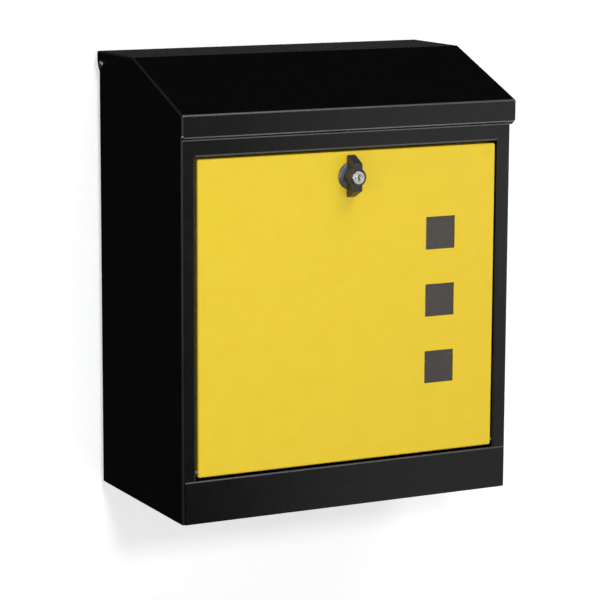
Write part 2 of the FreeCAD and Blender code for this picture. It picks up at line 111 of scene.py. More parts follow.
def bake(obj):
    """Applies every modifier."""
    graph = bpy.context.evaluated_depsgraph_get()
    mesh = bpy.data.meshes.new_from_object(obj.evaluated_get(graph), depsgraph=graph)
    old = obj.data
    obj.modifiers.clear()
    obj.data = mesh
    mesh.name = obj.name
    bpy.data.meshes.remove(old)


def wear_and_sheen_of(place, run):
    """How strong a fold's wear and painted highlight are: the lip's lower edge most, folds down the sides least.
    """
    if place.y < FRONT - 2 * MM and place.z < LID[0].z + 5 * MM:
        return 1.0
    return WEAR_AND_SHEEN_ACROSS if abs(run.normalized().x) > 0.9 else WEAR_AND_SHEEN_DOWN


def mark_folds(obj):
    """Writes to the attribute 'fold' how much wear and painted highlight each narrow face of a fold or a rounded
    edge gets.
    """
    bm = bmesh.new()
    bm.from_mesh(obj.data)
    layer = bm.faces.layers.float.new("fold")
    for face in bm.faces:
        longest = max(face.edges, key=lambda e: e.calc_length())
        if face.calc_area() / longest.calc_length() < STRIP:
            turns = sorted(e.calc_face_angle(0.0) for e in face.edges)
            run = longest.verts[1].co - longest.verts[0].co
            # part wear, part painted highlight: brighter lines on folds along x and on the lip's lower edge
            wear_and_sheen = wear_and_sheen_of(face.calc_center_median(), run)
            face[layer] = min(1.0, turns[-2] / FULL_TURN) * wear_and_sheen
    bm.to_mesh(obj.data)
    bm.free()


def shade(obj, angle):
    """Shading that keeps flat faces flat, and edges sharp that turn by more than angle."""
    mark_folds(obj)
    obj.data.shade_smooth()
    obj.data.set_sharp_from_angle(angle=math.radians(angle))
    add_modifier(obj, "WEIGHTED_NORMAL", keep_sharp=True, weight=60)
    bake(obj)
    return obj


def polish(obj, edge, segments=2, limit=38.0, thickness=0.0):
    """Thickness, edges rounded by edge where they turn by more than limit, and shading."""
    if thickness:
        add_modifier(obj, "SOLIDIFY", thickness=thickness, offset=-1.0, use_even_offset=True,
                     use_quality_normals=True)
    add_modifier(obj, "BEVEL", width=edge, segments=segments, limit_method="ANGLE",
                 angle_limit=math.radians(limit), use_clamp_overlap=True,
                 miter_outer="MITER_ARC", harden_normals=False)
    bake(obj)
    return shade(obj, 50)


def cut(obj, tool):
    """Removes tool from obj, and tool from the scene."""
    add_modifier(obj, "BOOLEAN", operation="DIFFERENCE", solver="EXACT", object=tool)
    bake(obj)
    bpy.data.objects.remove(tool)


def weld(bm, distance=WELD):
    bmesh.ops.remove_doubles(bm, verts=bm.verts, dist=distance)


def drop_loose(bm):
    loose = [v for v in bm.verts if not v.link_faces]
    bmesh.ops.delete(bm, geom=loose, context="VERTS")


def face_out(bm, direction):
    """Turns all the faces so that the largest one looks along direction."""
    bm.normal_update()
    bmesh.ops.recalc_face_normals(bm, faces=bm.faces)
    bm.normal_update()
    largest = max(bm.faces, key=lambda f: f.calc_area())
    if largest.normal.dot(direction) < 0:
        bmesh.ops.reverse_faces(bm, faces=bm.faces)


def sheet(name, bm, outward, edge, segments=2, thickness=SHEET):
    """A sheet from its outer faces, with its thickness behind them and its edges rounded."""
    face_out(bm, Vector(outward))
    return polish(new_object(name, bm), edge, segments, thickness=thickness)


def skin(name, bm):
    """A closed skin with its faces turned outwards."""
    bmesh.ops.recalc_face_normals(bm, faces=bm.faces)
    return new_object(name, bm)


def solid(name, bm, angle=42, distance=0.0):
    """A closed skin, joined where its vertices are nearer than distance, and shaded."""
    if distance:
        weld(bm, distance)
    return shade(skin(name, bm), angle)


# ---- outlines

def folded_line(points, radii=FOLD, steps=7):
    """(point, normal) along a line of straight runs, with an arc at each corner.

    Each run has a point near both its ends. The normal is on the left of the way along."""
    points = [Vector(p) for p in points]
    if not isinstance(radii, (list, tuple)):
        radii = [radii] * (len(points) - 2)
    line = []
    start = points[0]

    def left_of(a, b):
        run = (b - a).normalized()
        return Vector((-run.y, run.x))

    def run_to(end):
        length = (end - start).length
        normal = left_of(start, end)
        for stop in spread(0.0, length) if length > 3 * SUPPORT else (0.0, length):
            line.append((start.lerp(end, stop / length), normal))

    for radius, before, corner, after in zip(radii, points, points[1:], points[2:]):
        a = (before - corner).normalized()
        b = (after - corner).normalized()
        half = a.angle(b) / 2
        reach = radius / math.tan(half)
        centre = corner + (a + b).normalized() * (radius / math.sin(half))
        run_to(corner + a * reach)
        n0, n1 = left_of(before, corner), left_of(corner, after)
        first = corner + a * reach - centre
        side = 1.0 if first.dot(n0) > 0 else -1.0
        for i in range(1, steps):
            normal = part_turn(n0, n1, i / steps)
            line.append((centre + normal * (side * radius), normal))
        start = corner + b * reach
    run_to(points[-1])
    return line


def part_turn(first, last, share):
    """The unit vector that share of the way round from first to last."""
    angle = first.angle(last)
    near, far = math.sin((1 - share) * angle), math.sin(share * angle)
    return (first * near + last * far) / math.sin(angle)


def line_points(points, radii=FOLD):
    return [p for p, _ in folded_line(points, radii)]


def quarter(radius, steps):
    """How far out and back each step of a fold through a right angle is."""
    turns = [math.pi / 2 * k / steps for k in range(steps + 1)]
    return [(radius * math.sin(a), radius * (1 - math.cos(a))) for a in turns]


def across(xs, line):
    """Rows of points along a line in y and z, one point of each row at every x."""
    return [[Vector((x, p.x, p.y)) for x in xs] for p in line]


def spread(low, high):
    return [low, low + SUPPORT, high - SUPPORT, high]


def grid(rows, keep=None, bm=None):
    """A sheet through rows of points. keep says which faces stay, by their middle."""
    bm = bm or bmesh.new()
    made = [[bm.verts.new(p) for p in row] for row in rows]
    for a, b in zip(made, made[1:]):
        for i in range(len(a) - 1):
            corners = [a[i], a[i + 1], b[i + 1], b[i]]
            middle = sum((v.co for v in corners), Vector()) / 4
            if keep is None or keep(middle):
                bm.faces.new(corners)
    drop_loose(bm)
    return bm


def circle(centre, radius, count=48):
    """A ring in the plane of the first two coordinates."""
    turns = [2 * math.pi * i / count for i in range(count)]
    return [Vector((centre[0] + radius * math.cos(t), centre[1] + radius * math.sin(t)))
            for t in turns]


def square(centre, half):
    signs = ((-1, -1), (1, -1), (1, 1), (-1, 1))
    return [Vector((centre[0] + sx * half, centre[1] + sz * half)) for sx, sz in signs]


def grown(loop, by):
    """The loop moved outwards by a distance, for a convex loop that runs anticlockwise."""
    out = []
    for i, p in enumerate(loop):
        before = (p - loop[i - 1]).normalized()
        after = (loop[(i + 1) % len(loop)] - p).normalized()
        n1, n2 = Vector((before.y, -before.x)), Vector((after.y, -after.x))
        middle = (n1 + n2).normalized()
        out.append(p + middle * (by / max(0.3, middle.dot(n1))))
    return out


def ring_strip(bm, a, b):
    """Faces between two closed loops of vertices."""
    n = len(a)
    for i in range(n):
        j = (i + 1) % n
        bm.faces.new([a[i], a[j], b[j], b[i]])


def loop_edges(bm, loop):
    """The edges round a closed loop of vertices, made where they are missing."""
    pairs = zip(loop, loop[1:] + loop[:1])
    return [bm.edges.get(pair) or bm.edges.new(pair) for pair in pairs]


def plate(bm, outer, holes, place):
    """Fills a flat plate between vertices of its outer loop and new rings round its holes.

    outer is a list of made vertices. holes are loops of 2D points. place turns 2D into 3D."""
    edges = loop_edges(bm, outer)
    rims = []
    for hole in holes:
        inner = [bm.verts.new(place(p)) for p in hole]
        ring = [bm.verts.new(place(p)) for p in grown(hole, SUPPORT)]
        ring_strip(bm, inner, ring)
        edges += loop_edges(bm, ring)
        rims.append(inner)
    bmesh.ops.triangle_fill(bm, edges=edges, use_beauty=True)
    return rims


# ---- turned parts

def lathe(profile, centre, axis="y", count=64, bm=None):
    """Turns a profile of (distance along the axis, radius) about an axis through centre.

    A radius may be a function of the angle, and so may a whole level."""
    bm = bm or bmesh.new()
    loops = []
    for level in profile:
        if not callable(level) and not callable(level[1]) and level[1] < 1e-7:
            loops.append([bm.verts.new(turned(centre, axis, level[0], 0, 0))])
            continue
        loop = []
        for i in range(count):
            t = 2 * math.pi * i / count
            along, radius = level(t) if callable(level) else level
            r = radius(t) if callable(radius) else radius
            loop.append(bm.verts.new(turned(centre, axis, along, r, t)))
        loops.append(loop)
    for a, b in zip(loops, loops[1:]):
        if len(a) > 1 and len(b) > 1:
            ring_strip(bm, a, b)
            continue
        for i in range(count):
            j = (i + 1) % count
            bm.faces.new([a[0], b[j], b[i]] if len(a) == 1 else [a[i], a[j], b[0]])
    return bm


def turned(centre, axis, along, radius, angle):
    c, s = radius * math.cos(angle), radius * math.sin(angle)
    if axis == "y":
        return Vector((centre[0] + c, along, centre[2] + s))
    return Vector((along, centre[1] + c, centre[2] + s))


def soft(profile, radius, steps=3, close=False):
    """The profile with its corners rounded."""
    points = [Vector(p) for p in profile]
    if close:
        points = points + points[:2]
    out = [] if close else [points[0]]
    for before, corner, after in zip(points, points[1:], points[2:]):
        a, b = before - corner, after - corner
        reach = min(radius, a.length * 0.45, b.length * 0.45)
        if a.length < SAME or b.length < SAME or abs(math.pi - a.angle(b)) < 0.05:
            out.append(corner)
            continue
        start, end = corner + a.normalized() * reach, corner + b.normalized() * reach
        for i in range(steps + 1):
            t = i / steps
            out.append(start * (1 - t) ** 2 + corner * (2 * t * (1 - t)) + end * t ** 2)
    if close:
        out.append(out[0])
    else:
        out.append(points[-1])
    return out


# ---- sheet parts

REST_GAP = 0.4 * MM         # lid underside to the side panels' top edges
DROP = SHEET + REST_GAP
FLOOR_FLANGE = BOX["floor_pan"][1].z - FLOOR_Z


def side_top(y):
    """Height of a side panel's top edge: under the lid, and round about its hinge."""
    radius = LID[1].z - DROP - LID_AXIS.z
    if y > LID_AXIS.y:
        return LID_AXIS.z + math.sqrt(max(0.0, radius ** 2 - (y - LID_AXIS.y) ** 2))
    return min(LID[1].z - DROP, slope_z(y, DROP))


def side_panel(name, side):
    """Side, front strip and return flange. side is -1 on the left and 1 on the right."""
    corners = [(-HALF, BACK), (-HALF, FRONT), (-OPEN_HALF, FRONT), (-OPEN_HALF, RETURN_Y)]
    plan = line_points(corners)
    radius = BACK - LID_AXIS.y
    turns = [LID_AXIS.y + radius * math.cos(math.radians(a)) for a in range(10, 91, 10)]
    ridge = RIDGE_Y + DROP * math.tan(SLOPE / 2)
    extra = turns + [BACK - 12 * MM, ridge + SUPPORT, ridge, ridge - SUPPORT]
    flank = {round(p.y, 7) for p in plan if abs(p.x + HALF) < SAME}
    flank |= {round(y, 7) for y in extra}
    front = [p for p in plan if p.x > -HALF + SAME]
    plan = [Vector((-HALF, y)) for y in sorted(flank, reverse=True)] + front
    rail_z = RAIL[0].z + RAIL_LIP
    notch = FLOOR_Z + FLOOR_FLANGE + 2 * MM
    fold_x = -OPEN_HALF - FOLD

    def column(p):
        top = side_top(p.y)
        levels = [FLOOR_Z, FLOOR_Z + SUPPORT, notch, rail_z - SUPPORT, rail_z, top - SUPPORT, top]
        return [Vector((side * abs(p.x), p.y, z)) for z in levels]

    def keep(m):
        beyond_fold = -abs(m.x) > fold_x
        in_notch = m.z < notch and m.y > FRONT + SHEET and beyond_fold
        return not in_notch and not (beyond_fold and m.z > rail_z)

    rows = [list(row) for row in zip(*[column(p) for p in plan])]
    bm = grid(rows, keep)
    top = side_top(FRONT)
    strip = [[Vector((side * abs(x), FRONT, z)) for x in (fold_x, -OPEN_HALF)]
             for z in (rail_z, top - SUPPORT, top)]
    grid(strip, None, bm)
    weld(bm)
    return sheet(name, bm, (side, 0, 0), 0.06 * MM, 1)


def rail(name):
    low = RAIL[0].z
    opening_top = low + RAIL_LIP
    corners = [
        (FRONT + 12 * MM, RAIL[1].z),
        (FRONT, RAIL[1].z),
        (FRONT, opening_top),
        (RETURN_Y, opening_top),
        (RETURN_Y, low),
    ]
    xs = spread(-OPEN_HALF, OPEN_HALF)
    return sheet(name, grid(across(xs, line_points(corners))), (0, -1, 0), 0.05 * MM, 1)


def apron(name):
    low, high = BOX["apron"]
    corners = [(low.y, low.z), (low.y, high.z), (high.y, high.z)]
    xs = [-high.x, -high.x + SUPPORT, -OPEN_HALF, -OPEN_HALF + SUPPORT]
    xs += [-x for x in reversed(xs)]
    rows = across(xs, line_points(corners, 1.2 * MM))
    bm = grid(rows, lambda m: abs(m.x) < OPEN_HALF or m.y < FRONT)
    return sheet(name, bm, (0, -1, 0), 0.2 * MM)


def tray(half, low, high, place, depth, short=None, holes=(), radius=FOLD, steps=7):
    """A flat face with four folds, rounded corners and flanges.

    short is the depth of the flange on the low side. place turns 2D and a depth into 3D."""
    bm = bmesh.new()
    middle = (low + high) / 2
    corners = [Vector((half - radius, low + radius)), Vector((half - radius, high - radius)),
               Vector((-half + radius, high - radius)), Vector((-half + radius, low + radius))]
    outward = [Vector((1, 0)), Vector((0, 1)), Vector((-1, 0)), Vector((0, -1))]
    inner = []
    for c in corners:
        inset = Vector((-math.copysign(SUPPORT, c.x), -math.copysign(SUPPORT, c.y - middle)))
        inner.append(bm.verts.new(place(c + inset, 0)))
    entries = []            # place, way out, and whether it is on the low side
    for i, start in enumerate(corners):
        end = corners[(i + 1) % 4]
        m, following = outward[i], outward[(i + 1) % 4]
        step = (end - start).normalized() * SUPPORT
        entries += [(p, m, i == 3) for p in (start, start + step, end - step, end)]
        entries += [(end, part_turn(m, following, k / steps), False) for k in range(1, steps)]
    levels = quarter(radius, steps)
    offsets = [radius + SUPPORT] + ([short] if short else []) + [depth - SUPPORT, depth]
    levels += [(radius, offset) for offset in offsets]
    loops = [[bm.verts.new(place(p + m * out, back)) for p, m, _ in entries]
             for out, back in levels]
    n = len(entries)
    for a, b, (_, far) in zip(loops, loops[1:], levels[1:]):
        for i in range(n):
            j = (i + 1) % n
            if short and far > short + SAME and entries[i][2] and entries[j][2]:
                continue
            bm.faces.new([a[i], a[j], b[j], b[i]])
    per_side = 3 + steps
    for i in range(4):
        along = loops[0][i * per_side:i * per_side + 4]
        bm.faces.new([inner[i], inner[(i + 1) % 4]] + along[::-1])
    plate(bm, inner, holes, lambda p: place(p, 0))
    weld(bm, SAME)
    drop_loose(bm)
    return bm


PANE = BOX["window_strip"]
PANE_X, PANE_Z = (PANE[0].x + PANE[1].x) / 2, (PANE[0].z + PANE[1].z) / 2


def door_panel(name):
    low, high = DOOR
    pitch, half_window = 60 * MM, 14.5 * MM
    holes = [square((PANE_X, PANE_Z + step * pitch), half_window) for step in (-1, 0, 1)]
    holes.append(circle((LOCK.x, LOCK.z), 8.1 * MM))
    bm = tray(high.x, low.z, high.z, lambda p, off: Vector((p.x, FRONT + off, p.y)),
              high.y - FRONT, 5 * MM, holes)
    return sheet(name, bm, (0, -1, 0), 0.2 * MM)


def floor_pan(name):
    low, high = BOX["floor_pan"]
    holes = [circle((x, FRONT + 25 * MM), 2.5 * MM, 24) for x in (-100 * MM, 0, 100 * MM)]
    bm = tray(high.x, low.y, high.y, lambda p, off: Vector((p.x, p.y, FLOOR_Z + off)),
              FLOOR_FLANGE, None, holes, 1.4 * MM)
    return sheet(name, bm, (0, 0, -1), 0.2 * MM)


def back_panel(name):
    """Flat panel with three flanges and four pressed bosses round the wall holes."""
    low, high = BOX["back_panel"]
    half, fold = high.x, 1.5 * MM
    flange_end = BACK - SHEET - 10 * MM
    side_low, side_high = FLOOR_Z + FLOOR_FLANGE + 4 * MM, high.z - 12 * MM
    top_half = half - 10 * MM
    right = [(half, low.z), (half, side_low), (half - fold, side_low), (half - fold, side_high),
             (half, side_high), (half, high.z), (top_half, high.z), (top_half, high.z - fold)]
    outline = [(-half, low.z)] + right + [(-x, z) for x, z in right[:0:-1]]
    bm = bmesh.new()

    def place(p):
        return Vector((p[0], BACK, p[1]))

    outer = [bm.verts.new(place(p)) for p in outline]
    inset = fold + 2 * SUPPORT
    inner_half, inner_low, inner_high = half - inset, low.z + SUPPORT, high.z - inset
    inner = [bm.verts.new(place(p)) for p in ((-inner_half, inner_low), (inner_half, inner_low),
                                              (inner_half, inner_high), (-inner_half, inner_high))]
    edges = loop_edges(bm, outer) + loop_edges(bm, inner)
    bmesh.ops.triangle_fill(bm, edges=edges, use_beauty=True)
    spots = [(sx * 110 * MM, sz * 120 * MM) for sx in (-1, 1) for sz in (-1, 1)]
    press = soft([(17 * MM, BACK), (14 * MM, BACK), (9 * MM, 0), (3 * MM, 0)], 1.6 * MM, 5)
    rims = plate(bm, inner, [circle(s, press[0].x) for s in spots], place)
    for spot, loop in zip(spots, rims):
        for p in press[1:]:
            ring = [bm.verts.new(Vector((c.x, p.y, c.y))) for c in circle(spot, p.x)]
            ring_strip(bm, loop, ring)
            loop = ring
    flanges = [((half - fold, side_low), (half - fold, side_high), Vector((1, 0))),
               ((top_half, high.z - fold), (-top_half, high.z - fold), Vector((0, 1))),
               ((-half + fold, side_high), (-half + fold, side_low), Vector((-1, 0)))]
    for start, end, m in flanges:
        ends = Vector(start), Vector(end)
        rows = []
        for out, back in quarter(fold, 5):
            shift = m * out
            rows.append([Vector((p.x + shift.x, BACK - back, p.y + shift.y)) for p in ends])
        for y in (BACK - fold - SUPPORT, flange_end):
            rows.append([Vector((p.x + m.x * fold, y, p.y + m.y * fold)) for p in ends])
        grid(rows, None, bm)
    weld(bm)
    return sheet(name, bm, (0, 1, 0), 0.15 * MM)


def lid(name):
    """One folded sheet: top, slope, lip with a slanting return, and flanges with round ears."""
    low, high = LID
    lip_y, lip_low = low.y, low.z + LIP_BOTTOM
    lip_top = high.z - LIP_TOP_DROP
    side_r = 1.5 * MM
    corners = [(BACK, high.z), (RIDGE_Y, high.z), (lip_y, lip_top), (lip_y, lip_low),
               (lip_y + 3.4 * MM, low.z + 0.9 * MM), (lip_y + 3.6 * MM, low.z)]
    line = folded_line(corners, [FOLD, FOLD, 1.3 * MM, 0.6 * MM])
    if line[0][1].y < 0:
        line = [(p, -n) for p, n in line]
    last = max(i for i, (p, n) in enumerate(line) if abs(p.x - lip_y) < SAME)
    edge_x = high.x - side_r
    xs = spread(-edge_x, edge_x)
    bm = grid(across(xs, [p for p, _ in line]))
    for side in (-1, 1):
        rows = []
        for p, n in line[:last + 1]:
            row = [(side * (edge_x + out), p - n * back) for out, back in quarter(side_r, 5)]
            rows.append([Vector((x, q.x, q.y)) for x, q in row])
        grid(rows, None, bm)
        lid_flank(bm, side * high.x, [p - n * side_r for p, n in line[:last + 1]], side_r)
    weld(bm)
    return sheet(name, bm, (0, 0, 1), 0.2 * MM)


def lid_flank(bm, x, upper, side_r):
    """The flat side flange under the folded edge upper, with its round ear and slanting edge."""
    width, ear = 21.5 * MM, 15 * MM
    flat = LID[1].z - width
    bend = RIDGE_Y + width * math.tan(SLOPE / 2)
    bottom = upper[-1].y
    lip_end = LID[0].y + (bottom - slope_z(LID[0].y, width)) / math.tan(SLOPE)
    inset = side_r + SUPPORT
    ridge = Vector((RIDGE_Y + inset * math.tan(SLOPE / 2), LID[1].z - inset))
    front = LID[0].y + inset
    shoulder = Vector((front, slope_z(front, inset)))
    support = [Vector((BACK, LID[1].z - inset)), ridge, shoulder, Vector((front, bottom))]

    def place(p):
        return Vector((x, p[0], p[1]))

    top = [bm.verts.new(place(p)) for p in upper]
    inner = [bm.verts.new(place(p)) for p in support]
    edges = loop_edges(bm, top + inner[::-1])
    bmesh.ops.triangle_fill(bm, edges=edges, use_beauty=True)
    centre = Vector((BACK - ear, flat + ear))
    round_ear = [centre + Vector((ear * math.sin(a), -ear * math.cos(a)))
                 for a in [math.radians(9 * k) for k in range(11)]]
    lower = [Vector((lip_end, bottom)), Vector((bend, flat))] + round_ear
    main = inner + [bm.verts.new(place(p)) for p in lower]
    plate(bm, main, [circle((LID_AXIS.y, LID_AXIS.z), 2.05 * MM, 32)], place)


# ---- lock and fasteners

def thread(radius, start, end, pitch, depth):
    """Levels of a cut thread, for lathe."""
    count = round((end - start) / (pitch / 5))

    def cut_at(y):
        def at(angle):
            turns = (y / pitch - angle / (2 * math.pi)) % 1.0
            return radius - depth * abs(2 * turns - 1)
        return at

    places = [start + (end - start) * k / count for k in range(count + 1)]
    return [(y, cut_at(y)) for y in places]


def rosette(name):
    """Bevelled flange on the door's face and a threaded neck behind it."""
    low, high = BOX["rosette"]
    outer = high.x
    face, seat = low.y, FRONT
    bore, neck, bevel = 5.05 * MM, 8 * MM, 1.3 * MM
    front = soft([(seat, bore), (face, bore), (face, outer - bevel), (face + bevel, outer),
                  (seat, outer), (seat, neck)], 0.25 * MM, 4)
    start, end = seat + 1.9 * MM, high.y - 0.5 * MM
    levels = front[:-1] + [Vector((seat, neck)), Vector((start, neck))]
    levels += thread(neck, start, end, 1.25 * MM, 0.5 * MM)
    levels += [(high.y, neck - 0.6 * MM), (high.y, bore), front[0]]
    return solid(name, lathe(levels, LOCK, count=96), 50, FINE_WELD)


def lock_nut(name):
    """Hexagon with its corners chamfered on both faces, and a bore."""
    low, high = BOX["lock_nut"]
    corner, flat, bore = high.x, high.x * math.cos(math.pi / 6), 8.02 * MM
    chamfer = 0.9 * MM

    def hexagon(limit):
        def at(angle):
            sector = math.pi / 3
            return min(limit, flat / math.cos(angle % sector - sector / 2))
        return at

    side = []
    for k in range(4):
        share = k / 3
        limit = flat - 0.1 * MM + (corner - flat + 0.1 * MM) * share
        side.append((low.y + chamfer * share, hexagon(limit)))
    side += [(low.y + high.y - y, r) for y, r in reversed(side)]
    first = (low.y, bore + 0.3 * MM)
    levels = [first] + side + [(high.y, bore + 0.3 * MM), (high.y - 0.3 * MM, bore),
                               (low.y + 0.3 * MM, bore), first]
    return solid(name, lathe(levels, LOCK, count=96), 28, FINE_WELD)


def knob(name):
    """Moulded hub and two wings in one skin, with rounded edges and a blended root.

    The wings' tips reach back past the rosette, which sits in a round recess behind them."""
    low, high = BOX["knob"]
    skirt, face = high.y, low.y
    rear = BOX["rosette"][0].y - (FRONT - skirt)
    recess = BOX["rosette"][1].x + 0.4 * MM
    hub, bore, shaft = 7.75 * MM, 5.87 * MM, 5.0 * MM
    tip_depth, rim, rear_rim = 1.5 * MM, 0.75 * MM, 0.25 * MM
    long_back, long_front = (high.z - low.z) / 2, 11.9 * MM
    thick_back, thick_front = 4.1 * MM, 4.0 * MM
    squareness, blend = 18.0, 0.9 * MM

    def outline(angle, y, inset=0.0):
        """Distance from the axis to the skin, or to a line that far inside it."""
        back_share = min(1.0, (y - face) / (skirt - tip_depth - face))
        length = long_front + (long_back - long_front) * back_share
        thick = thick_front + (thick_back - thick_front) * (y - face) / (skirt - face)
        wide = abs(math.cos(angle)) / (thick - inset)
        tall = abs(math.sin(angle)) / (length - inset)
        bar = (wide ** squareness + tall ** squareness) ** (-1 / squareness)
        round_hub = hub - inset
        mix = max(0.0, blend - abs(bar - round_hub)) / blend
        return max(bar, round_hub) + mix * mix * blend / 4

    def back_of(angle):
        return skirt if outline(angle, skirt) > recess else rear

    def behind(forward, inset):
        """The rim of the rear face, that far in front of it."""
        def at(angle):
            y = back_of(angle) - forward
            return y, outline(angle, y, inset)
        return at

    def wall(share):
        """Part of the way from the blunt tip to the front rim."""
        def at(angle):
            start = back_of(angle) - tip_depth
            y = start + (face + rim - start) * share
            return y, outline(angle, y)
        return at

    def front_rim(turn):
        y = face + rim * (1 - math.sin(turn))
        return lambda angle: (y, outline(angle, y, rim * (1 - math.cos(turn))))

    def recess_edge(y_of):
        return lambda angle: (y_of(angle), min(recess, outline(angle, back_of(angle), rear_rim)))

    levels = [(rear, shaft), recess_edge(lambda angle: rear), recess_edge(back_of)]
    levels += [behind(0.0, rear_rim), behind(rear_rim, 0.0), behind(tip_depth, 0.0)]
    levels += [wall(k / 8) for k in range(1, 9)]
    levels += [front_rim(math.pi / 2 * k / 6) for k in range(1, 7)]
    barrel_end = BOX["key_barrel"][1].y
    levels += [(face, bore + 0.45 * MM), (face + 0.05 * MM, bore + 0.2 * MM),
               (face + 0.25 * MM, bore), (barrel_end, bore), (barrel_end, shaft), (rear, shaft)]
    return solid(name, lathe(levels, LOCK, count=288), 60, SAME)


def box_tool(low, high):
    """A block that only cuts and isn't kept."""
    bm = bmesh.new()
    bmesh.ops.create_cube(bm, size=1.0)
    size, middle = Vector(high) - Vector(low), (Vector(low) + Vector(high)) / 2
    for v in bm.verts:
        v.co = Vector(v.co[i] * size[i] + middle[i] for i in range(3))
    return new_object("tool", bm)


def cut_slot(obj, x, y, z):
    """Cuts a block out of a lock part. x and z are ranges from the lock's axis."""
    cut(obj, box_tool((LOCK.x + x[0], y[0], LOCK.z + z[0]), (LOCK.x + x[1], y[1], LOCK.z + z[1])))


def key_plug(name):
    low, high = BOX["key_plug"]
    radius = high.x
    profile = [(high.y, 0), (high.y, radius), (low.y, radius), (low.y, 0)]
    plug = skin(name, lathe(soft(profile, 0.2 * MM), LOCK))
    half_slot, half_height, ward = 0.7 * MM, 2.4 * MM, 0.55 * MM
    depth = (low.y - 1 * MM, low.y + 7 * MM)
    cut_slot(plug, (-half_slot, half_slot), depth, (-half_height, half_height))
    cut_slot(plug, (-half_slot - ward, 0.0), depth, (-0.4 * MM, 0.5 * MM))
    return polish(plug, 0.09 * MM, limit=50)


def key_barrel(name):
    low, high = BOX["key_barrel"]
    outer, bore, chamfer = high.x, 3.55 * MM, 0.4 * MM
    floor = high.y - 1.0 * MM
    profile = [(high.y, 0), (high.y, outer), (low.y + chamfer, outer), (low.y, outer - chamfer),
               (low.y, bore), (floor, bore), (floor, 0)]
    return solid(name, lathe(soft(profile, 0.12 * MM), LOCK, count=96))


def lock_spindle(name):
    low, high = BOX["lock_spindle"]
    square_start = BOX["latch_cam"][0].y
    half = 3.5 * MM

    def squared(limit):
        return lambda a: min(limit, half / max(abs(math.cos(a)), abs(math.sin(a))))

    levels = [(low.y, 0), (low.y, high.x), (square_start, high.x),
              (square_start, squared(4.7 * MM)), (high.y - 0.3 * MM, squared(4.7 * MM)),
              (high.y, squared(4.3 * MM)), (high.y, 2.0 * MM), (high.y - 8 * MM, 2.0 * MM),
              (high.y - 8 * MM, 0)]
    return solid(name, lathe(levels, LOCK), 35)


def flat_part(name, node, outline, holes, edge):
    """A flat plate in the plane of the door, as thick as its CAD node."""
    low, high = BOX[node]
    bm = bmesh.new()

    def place(p):
        return Vector((p[0], low.y, p[1]))

    plate(bm, [bm.verts.new(place(p)) for p in outline], holes, place)
    return sheet(name, bm, (0, -1, 0), edge, thickness=high.y - low.y)


def latch_cam(name):
    """Flat bar with a round hub end, clipped corners and a square hole."""
    high = BOX["latch_cam"][1]
    w, tip, corner = high.x, high.z, 3 * MM
    outline = [(w, LOCK.z), (w, tip - corner), (w - corner, tip), (-w + corner, tip),
               (-w, tip - corner), (-w, LOCK.z)]
    arc = [math.pi + math.pi * k / 20 for k in range(1, 20)]
    outline += [(w * math.cos(a), LOCK.z + w * math.sin(a)) for a in arc]
    return flat_part(name, "latch_cam", outline, [square((LOCK.x, LOCK.z), 3.5 * MM)], 0.25 * MM)


def ring(name, node, bore, axis="y"):
    """A washer in the box of its CAD node."""
    low, high = BOX[node]
    if axis == "y":
        ends, centre, r = (low.y, high.y), LOCK, high.x
    else:
        ends, centre, r = (low.x, high.x), LID_AXIS, (high.z - low.z) / 2
    profile = [(ends[0], bore), (ends[0], r), (ends[1], r), (ends[1], bore)]
    bm = lathe(soft(profile, 0.15 * MM, close=True), centre, axis)
    return solid(name, bm, distance=FINE_WELD)


def cam_screw(name):
    """Pan head with a driver slot, and its shank."""
    low, high = BOX["cam_screw"]
    head, shank = 3.8 * MM, 2.0 * MM
    seat = BOX["cam_washer"][1].y
    profile = [(low.y, 0), (low.y, shank), (seat, shank), (seat, head), (high.y - 0.9 * MM, head),
               (high.y - 0.25 * MM, head - 0.9 * MM), (high.y, head - 2 * MM), (high.y, 0)]
    screw = skin(name, lathe(soft(profile, 0.25 * MM), LOCK, count=48))
    cut_slot(screw, (-6 * MM, 6 * MM), (high.y - 1.0 * MM, high.y + 2 * MM), (-0.5 * MM, 0.5 * MM))
    return polish(screw, 0.08 * MM, limit=50)


def lid_rivet(name, side):
    """Domed head outside, upset end inside."""
    low, high = BOX["lid_rivet_right"]
    head, shank, upset = 3.5 * MM, 2.0 * MM, 3.2 * MM
    seat, inside, end = high.x - 2 * MM, HALF - SHEET, low.x
    dome = [(seat, head), (seat + 0.5 * MM, head), (seat + 1.3 * MM, head - 0.8 * MM),
            (high.x - 0.15 * MM, head - 2 * MM), (high.x, 0)]
    profile = [(end, 0), (end, upset), (inside, upset), (inside, shank), (seat, shank)] + dome
    return cross_pin(name, side, profile, LID_AXIS, 48, 0.4 * MM, 4)


def cross_pin(name, side, profile, axis, count, round_by, steps):
    """A turned part on an axis along x, on the left where side is -1."""
    points = soft([(side * x, r) for x, r in profile], round_by, steps)
    return solid(name, lathe(points, axis, "x", count))


def door_pin(name, side):
    """Headed pin in the return flange, seen in the gap beside the door."""
    low, high = BOX["door_pin_right"]
    head, shank, taper = 2.4 * MM, 1.5 * MM, 0.7 * MM
    seat = OPEN_HALF + SHEET
    profile = [(low.x, 0), (low.x, shank), (seat, shank), (seat, head - taper),
               (seat + taper, head), (high.x, head), (high.x, 0)]
    return cross_pin(name, side, profile, DOOR_AXIS, 40, 0.25 * MM, 3)


def stud_spots():
    return [Vector((PANE_X, 0, PANE_Z + d * MM)) for d in (-80, -30, 30, 80)]


def window_strip(name):
    """One smoked strip behind the three windows, with clearance holes for its studs."""
    low, high = PANE
    corners = [(low.x, low.z), (high.x, low.z), (high.x, high.z), (low.x, high.z)]
    outline = soft(corners, 2.5 * MM, 5, close=True)[:-1]
    holes = [circle((s.x, s.z), 1.6 * MM, 24) for s in stud_spots()]
    return flat_part(name, "window_strip", outline, holes, 0.2 * MM)


